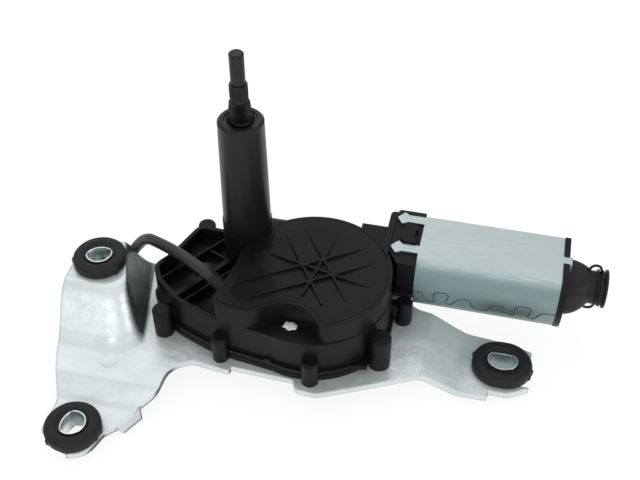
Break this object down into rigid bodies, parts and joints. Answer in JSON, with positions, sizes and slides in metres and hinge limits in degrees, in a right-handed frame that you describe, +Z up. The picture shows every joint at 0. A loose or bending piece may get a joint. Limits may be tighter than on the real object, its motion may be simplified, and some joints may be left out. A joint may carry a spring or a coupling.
{
  "type": "rear wiper motor",
  "caption": "Worm geared wiper motor with a tall upright spindle, on a pressed bracket with rubber grommets",
  "frame": {"origin": "on the spindle axis at the foot ring of the shaft sleeve", "axes": "+Z up along the spindle, +X along the motor axis away from the gears, +Y away from the front of the gear housing"},
  "size_m": [0.242, 0.1417, 0.1421],
  "materials": {
    "housing_plastic": "matt moulded black",
    "sleeve_plastic": "matt black",
    "rubber": "matt",
    "lead_jacket": "satin",
    "zinc_plate": "bright zinc plated",
    "screw_steel": "zinc plated",
    "dark_steel": "phosphated or hardened dark",
    "lamination": "stamped laminations",
    "copper": "enamelled copper",
    "bronze": "sintered bronze",
    "nylon": "natural nylon",
    "board": "circuit board",
    "ferrite": "ferrite",
    "carbon": "carbon"
  },
  "bodies": {
    "motor_unit": {"gear_housing": "housing_plastic", "gear_cover": "housing_plastic", "cover_seal": "rubber", "base_seal": "rubber", "bottom_cover": "housing_plastic", "mounting_bracket": "zinc_plate", "bracket_screws": "screw_steel", "shaft_sleeve": "sleeve_plastic", "bearing_tube": "screw_steel", "shaft_seal": "rubber", "spindle_washer": "screw_steel", "spindle_thrust_pad": "nylon", "sector_pivot_pin": "dark_steel", "wheel_axle": "dark_steel", "axle_clip": "screw_steel", "circuit_board": "board", "worm_end_bush": "bronze", "thrust_ball": "dark_steel", "neck_bush": "bronze", "rear_bearing": "bronze", "motor_can": "zinc_plate", "magnets": "ferrite", "brush_holder": "housing_plastic", "carbon_brushes": "carbon", "brush_springs": "dark_steel", "choke_coils": "copper", "motor_end_plate": "housing_plastic", "end_boot": "rubber", "boot_clip": "screw_steel", "wiring_lead": "lead_jacket", "lead_gland": "rubber", "lead_connector": "sleeve_plastic", "upper_bush": "bronze", "lower_bush": "bronze", "sleeve_back_left": "zinc_plate", "grommet_back_left": "rubber", "sleeve_front_left": "zinc_plate", "grommet_front_left": "rubber", "sleeve_right": "zinc_plate", "grommet_right": "rubber"},
    "armature": {"armature_shaft": "dark_steel", "worm": "dark_steel", "armature_core": "lamination", "armature_windings": "copper", "commutator": "copper"},
    "worm_wheel_set": {"worm_wheel": "nylon", "crank_pin": "dark_steel", "contact_disc": "copper"},
    "spindle_set": {"wiper_spindle": "dark_steel", "drive_pinion": "dark_steel"},
    "sector_set": {"toothed_sector": "dark_steel", "rod_pin": "dark_steel"},
    "rod_set": {"connecting_rod": "dark_steel"}
  },
  "joints": [
    {"name": "armature_spin", "type": "hinge", "parent": "motor_unit", "child": "armature", "pos_m": [0, 0.012, -0.021], "axis": [1, 0, 0], "continuous": true},
    {"name": "worm_wheel_spin", "type": "hinge", "parent": "motor_unit", "child": "worm_wheel_set", "pos_m": [0.0358, -0.013, -0.021], "axis": [0, 0, 1], "continuous": true},
    {"name": "spindle_swing", "type": "hinge", "parent": "motor_unit", "child": "spindle_set", "pos_m": [0, 0, 0], "axis": [0, 0, 1], "range_deg": [-110, 0]},
    {"name": "sector_swing", "type": "hinge", "parent": "motor_unit", "child": "sector_set", "pos_m": [-0.01898, -0.01299, -0.0371], "axis": [0, 0, 1], "range_deg": [0, 64.49]},
    {"name": "rod_turn", "type": "hinge", "parent": "sector_set", "child": "rod_set", "pos_m": [-0.02806, -0.02494, -0.0291], "axis": [0, 0, 1], "range_deg": [-59.53, 0]}
  ],
  "couplings": [
    {"joint": "worm_wheel_spin", "follows": "armature_spin", "ratio": 0.02381},
    {"joint": "sector_swing", "follows": "spindle_swing", "ratio": -0.58621},
    {"joint": "rod_turn", "follows": "spindle_swing", "ratio": 0.54111}
  ]
}
